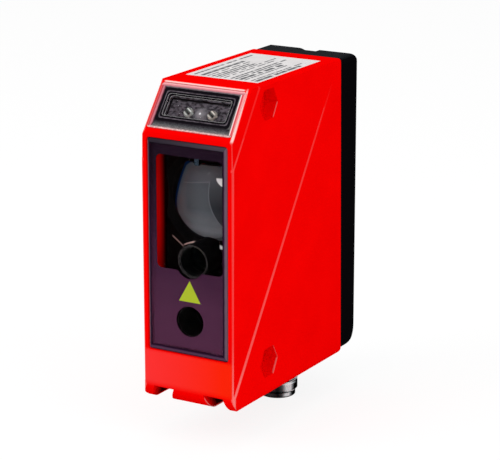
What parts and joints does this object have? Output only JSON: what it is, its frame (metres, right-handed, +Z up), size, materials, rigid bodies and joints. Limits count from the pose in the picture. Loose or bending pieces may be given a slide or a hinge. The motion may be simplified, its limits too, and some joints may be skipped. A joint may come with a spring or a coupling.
{
  "type": "optical distance sensor",
  "caption": "Slim block-shaped optical distance sensor with a tall front window, a slanted indicator pane, a dovetail foot, nut recesses and a round plug connector.",
  "frame": {"origin": "middle of the underside of the dovetail rail, half way between the front face and the back of the rear cover", "axes": "+Z up through the housing, -Y the way the window looks, +X to the right as seen by someone who faces the window"},
  "size_m": [0.03, 0.07, 0.1014],
  "materials": {
    "red_coat": "smooth satin red powder coat on zinc",
    "clear_glass": "polished clear glass",
    "plum_mask": "dark plum print behind the glass",
    "black_adhesive": "black adhesive foam",
    "yellow_green": "flat yellow-green film",
    "clear_plastic": "clear moulded plastic",
    "black_plastic": "black moulded plastic",
    "board": "green circuit board",
    "lamp_green": "clear resin with a green tint",
    "lamp_yellow": "clear resin with a yellow tint",
    "carrier_black": "matt black moulded plastic",
    "lens_glass": "coated optical glass",
    "spring_steel": "dark spring steel",
    "can_steel": "nickel-plated can",
    "tube_black": "black anodised tube",
    "gold_plate": "gold-plated can",
    "screw_steel": "plated steel",
    "nickel": "nickel-plated brass with a fine thread",
    "seal_rubber": "black rubber",
    "flex_amber": "amber film",
    "panel_grey": "dark grey moulded plastic",
    "display_dark": "dark display glass in a frame",
    "key_rubber": "grey silicone",
    "cover_black": "black satin moulded plastic",
    "label_white": "white film label"
  },
  "bodies": {
    "root": {"housing": "red_coat", "window_glass": "clear_glass", "window_mask": "plum_mask", "window_seal": "black_adhesive", "beam_mark": "yellow_green", "indicator_window": "clear_plastic", "indicator_bezel": "black_plastic", "indicator_board": "board", "lamp_green": "lamp_green", "lamp_yellow": "lamp_yellow", "optics_carrier": "carrier_black", "receiver_lens": "lens_glass", "lens_clip": "spring_steel", "receiver_detector": "can_steel", "transmitter_tube": "tube_black", "collimator_lens": "lens_glass", "laser_diode": "gold_plate", "pointer_laser": "gold_plate", "carrier_screws": "screw_steel", "receiver_board": "board", "board_spacers": "gold_plate", "main_board": "board", "board_header": "black_plastic", "board_screws": "screw_steel", "connector_shell": "nickel", "connector_insert": "black_plastic", "connector_pins": "gold_plate", "connector_ring": "seal_rubber", "connector_nut": "screw_steel", "connector_lead": "flex_amber", "operating_panel": "panel_grey", "panel_seal": "seal_rubber", "panel_screws": "screw_steel", "display_module": "display_dark", "keypad": "key_rubber", "rear_cover": "cover_black", "type_label": "label_white"}
  },
  "joints": []
}
